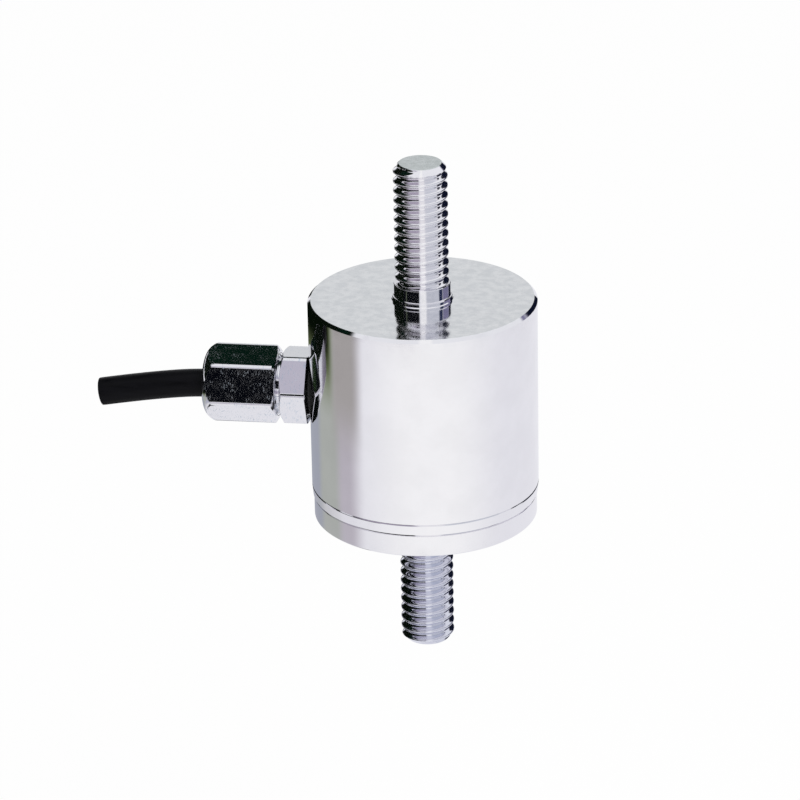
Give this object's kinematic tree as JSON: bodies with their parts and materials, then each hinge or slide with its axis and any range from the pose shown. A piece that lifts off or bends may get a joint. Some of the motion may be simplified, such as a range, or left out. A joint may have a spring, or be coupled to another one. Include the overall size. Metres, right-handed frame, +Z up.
{
  "type": "miniature in-line load cell",
  "caption": "Small cylindrical steel force sensor with a threaded stud at each end for in-line tension and compression, and a side cable gland.",
  "frame": {"origin": "on the load axis at the cell's lower face, where the lower stud leaves the body", "axes": "+Z up the load axis towards the upper stud; the cable gland points along -X"},
  "size_m": [0.0496, 0.0254, 0.0573],
  "materials": {
    "body_steel": "polished turned stainless steel",
    "stud_steel": "bright rolled thread, stainless steel",
    "nut_steel": "plain machined steel",
    "gland_plating": "bright nickel plated brass",
    "ring_brass": "turned brass",
    "seal_rubber": "matt nitrile rubber",
    "cable_jacket": "black cable jacket, slight sheen",
    "shield_braid": "tinned copper braid",
    "core_red": "core insulation",
    "core_black": "core insulation",
    "core_green": "core insulation",
    "core_white": "core insulation",
    "board_laminate": "green glass-fibre laminate",
    "chip_ceramic": "chip resistor",
    "gauge_foil": "amber film with metal foil",
    "jumper_wire": "enamelled copper wire",
    "solder": "soft solder"
  },
  "bodies": {
    "root": {"cable_jacket": "cable_jacket", "cable_shield": "shield_braid", "core_black": "core_black", "core_green": "core_green", "core_red": "core_red", "core_white": "core_white", "crimp_ferrule": "ring_brass", "gauge_wires": "jumper_wire", "gland_body": "gland_plating", "gland_nut": "gland_plating", "gland_o_ring": "seal_rubber", "gland_seal": "seal_rubber", "gland_thrust_ring": "ring_brass", "housing": "body_steel", "lower_stud": "stud_steel", "sensing_element": "body_steel", "solder_joints": "solder", "strain_gauge_1": "gauge_foil", "strain_gauge_2": "gauge_foil", "strain_gauge_3": "gauge_foil", "strain_gauge_4": "gauge_foil", "stud_lock_nut": "nut_steel", "terminal_board": "board_laminate", "trim_resistor_1": "chip_ceramic", "trim_resistor_2": "chip_ceramic", "trim_resistor_3": "chip_ceramic", "upper_stud": "stud_steel"}
  },
  "joints": []
}
